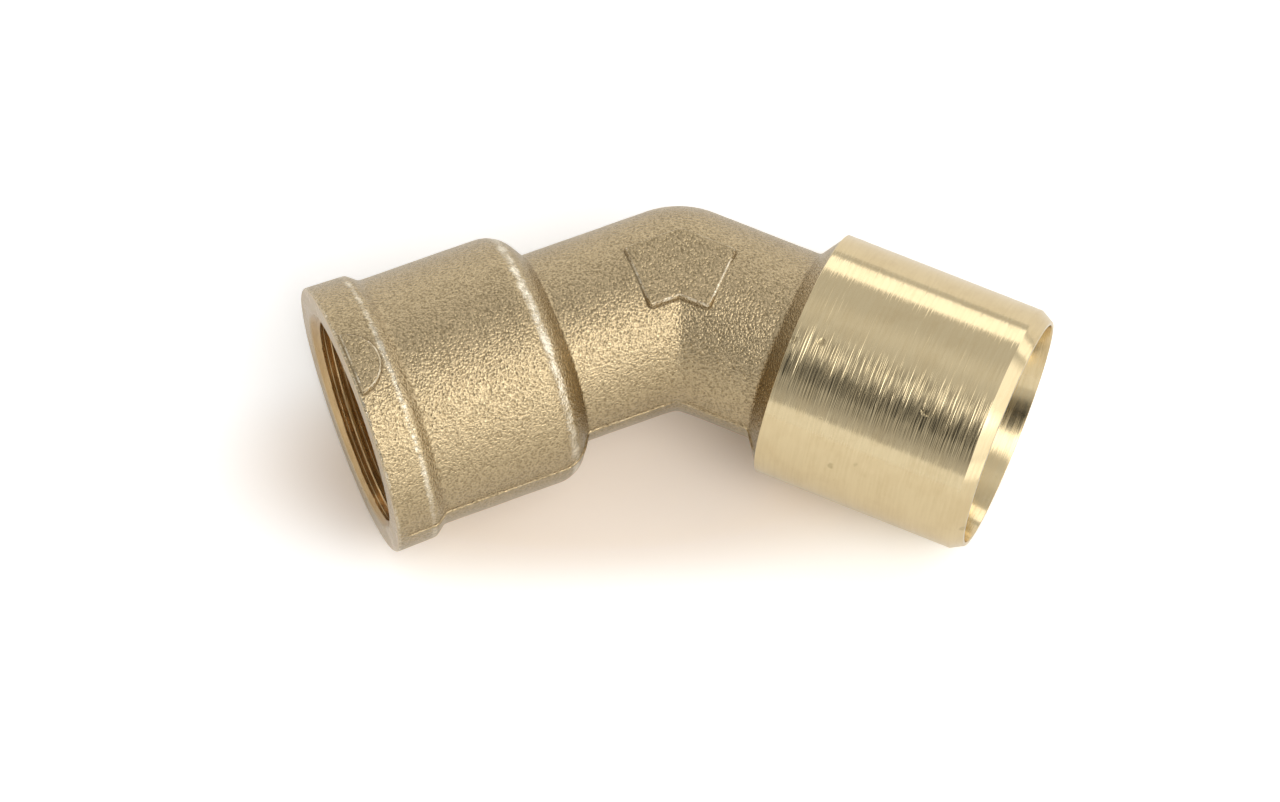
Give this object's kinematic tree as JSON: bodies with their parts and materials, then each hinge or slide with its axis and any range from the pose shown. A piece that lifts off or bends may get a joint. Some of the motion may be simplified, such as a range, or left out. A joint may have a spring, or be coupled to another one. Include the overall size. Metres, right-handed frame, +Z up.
{
  "type": "pipe elbow",
  "caption": "Forged brass 45 degree elbow that joins a threaded pipe to a plain tube: a beaded female thread on one arm, a turned end bored as a tube cup on the other.",
  "frame": {"origin": "centre of the box's underside: the elbow lies on its side, and its beaded mouth touches z = 0", "axes": "+X from the threaded arm towards the plain arm, +Y towards the outside of the bend, +Z up; both arms' axes lie in one level plane, 26.4 mm up"},
  "size_m": [0.1432, 0.0692, 0.0529],
  "materials": {
    "forged_brass": "hot forged and shot blasted, pale matte brass with a fine grain",
    "turned_brass": "bright turned brass with fine circumferential tool lines",
    "cut_thread_brass": "bright cut thread, warm in tone because it lies in the bore"
  },
  "bodies": {
    "root": {"mouth_bead": "forged_brass", "mouth_pad": "forged_brass", "pipe_thread": "cut_thread_brass", "socket_barrel": "forged_brass", "socket_shoulder": "forged_brass", "socket_neck": "forged_brass", "bend": "forged_brass", "marking_pad": "forged_brass", "cup_neck": "forged_brass", "cup_shoulder": "forged_brass", "turned_cup": "turned_brass", "flash_inside_bend": "forged_brass", "flash_outside_bend": "forged_brass"}
  },
  "joints": []
}
